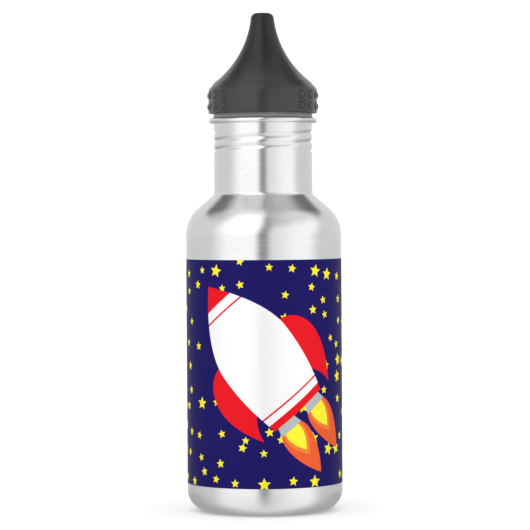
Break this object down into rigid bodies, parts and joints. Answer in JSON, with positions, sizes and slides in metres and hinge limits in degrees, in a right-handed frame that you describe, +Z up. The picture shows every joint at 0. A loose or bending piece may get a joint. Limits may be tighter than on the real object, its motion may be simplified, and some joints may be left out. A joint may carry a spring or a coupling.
{
  "type": "sports water bottle",
  "caption": "Child's single-wall steel sports bottle with a two-start screw cap, push-pull spout, tapered dust cover and a printed space wrap.",
  "frame": {"origin": "centre of the base, on the plane that the bottle stands on", "axes": "+Z up along the bottle's axis, -Y towards the side that carries the rocket picture, +X to the right of it"},
  "size_m": [0.0702, 0.0702, 0.2243],
  "materials": {
    "steel": "fine satin brushed round the body",
    "wrap_ink": "smooth semi-gloss print",
    "gasket_silicone": "matt moulded silicone",
    "cap_plastic": "satin moulded polypropylene",
    "valve_plastic": "natural moulded polypropylene",
    "clear_silicone": "translucent silicone",
    "ring_rubber": "smooth rubber",
    "spout_plastic": "satin moulded polypropylene",
    "mouth_silicone": "soft matt silicone",
    "cover_plastic": "satin moulded polypropylene"
  },
  "bodies": {
    "bottle": {"bottle_shell": "steel", "base_pan": "steel", "print_wrap": "wrap_ink"},
    "seal": {"cap_gasket": "gasket_silicone"},
    "cap": {"cap_base": "cap_plastic", "valve_post": "valve_plastic", "post_seal": "clear_silicone", "tower_oring": "ring_rubber", "vent_valve": "clear_silicone"},
    "spout": {"spout_sleeve": "spout_plastic", "mouthpiece": "mouth_silicone"},
    "cover": {"dust_cover": "cover_plastic"}
  },
  "joints": [
    {"name": "cap_rise", "type": "slide", "parent": "bottle", "child": "seal", "axis": [0, 0, 1], "range_m": [0, 0.0163]},
    {"name": "cap_turn", "type": "hinge", "parent": "seal", "child": "cap", "pos_m": [0, 0, 0.17915], "axis": [0, 0, 1], "range_deg": [0, 720]},
    {"name": "spout_pull", "type": "slide", "parent": "cap", "child": "spout", "axis": [0, 0, 1], "range_m": [0, 0.0055]},
    {"name": "cover_pull", "type": "slide", "parent": "cap", "child": "cover", "axis": [0, 0, 1], "range_m": [0, 0.045]}
  ],
  "couplings": [
    {"joint": "cap_rise", "follows": "cap_turn", "m_per_rad": 0.0012923}
  ]
}
